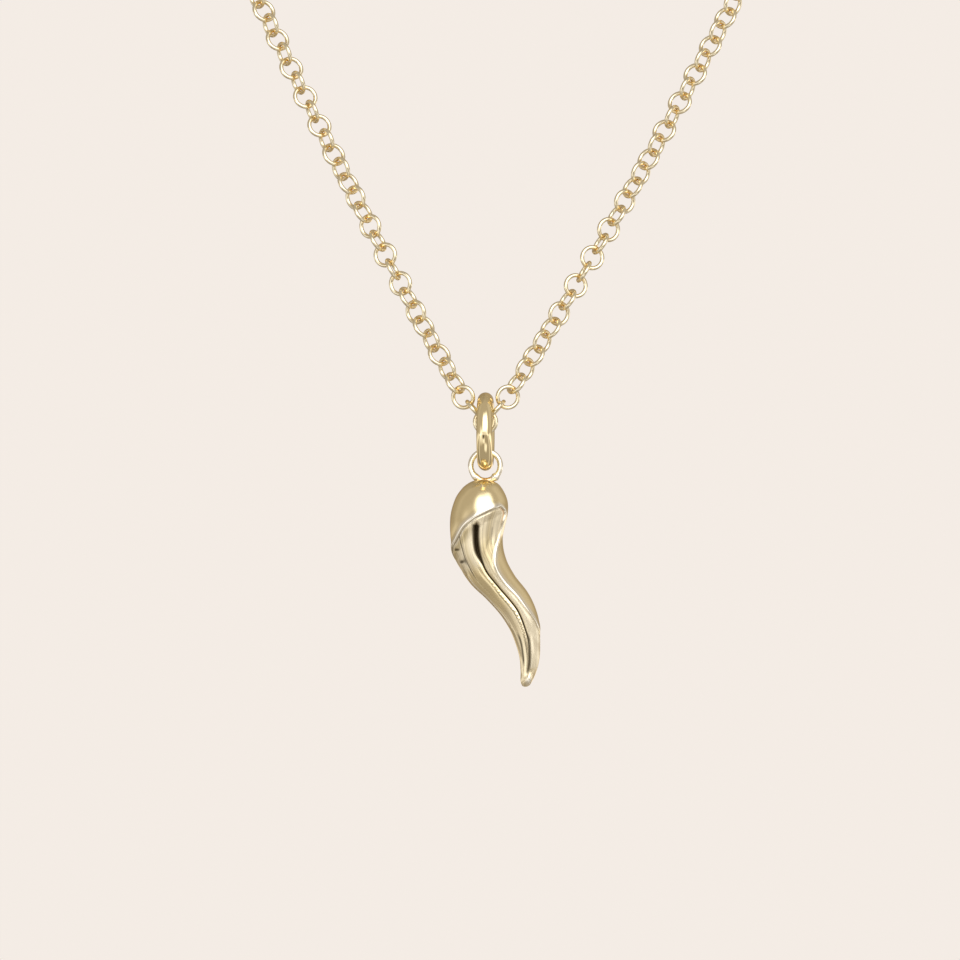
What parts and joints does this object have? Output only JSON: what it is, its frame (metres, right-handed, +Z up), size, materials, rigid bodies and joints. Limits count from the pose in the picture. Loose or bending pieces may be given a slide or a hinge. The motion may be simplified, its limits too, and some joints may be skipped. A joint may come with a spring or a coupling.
{
  "type": "cornicello horn pendant necklace",
  "caption": "Gold S-shaped horn pendant with a smooth head and fluted core, hung by a thick bail ring on a fine round-link cable chain with a plain clasp.",
  "frame": {"origin": "the nape: the middle of the clasp's ring, where the necklace hangs on a neck", "axes": "+Z up, -Y towards the front where the pendant hangs, +X to the right in a view from the front"},
  "size_m": [0.1005, 0.098, 0.139],
  "materials": {
    "horn_gold": "polished pale yellow gold plating",
    "ring_gold": "polished pale yellow gold plating",
    "chain_gold": "polished pale yellow gold plating"
  },
  "bodies": {
    "chain": {"chain_left": "chain_gold", "chain_right": "chain_gold", "clasp": "ring_gold", "end_ring": "ring_gold"},
    "bail": {"bail_ring": "ring_gold"},
    "horn": {"horn": "horn_gold"}
  },
  "joints": [
    {"name": "bail_swing", "type": "hinge", "parent": "chain", "child": "bail", "pos_m": [-0.003, -0.0925, -0.11], "axis": [1, 0, 0], "range_deg": [-80, 80]},
    {"name": "horn_swing", "type": "hinge", "parent": "bail", "child": "horn", "pos_m": [-0.003, -0.0925, -0.11411], "axis": [0, 1, 0], "range_deg": [-80, 80]}
  ]
}
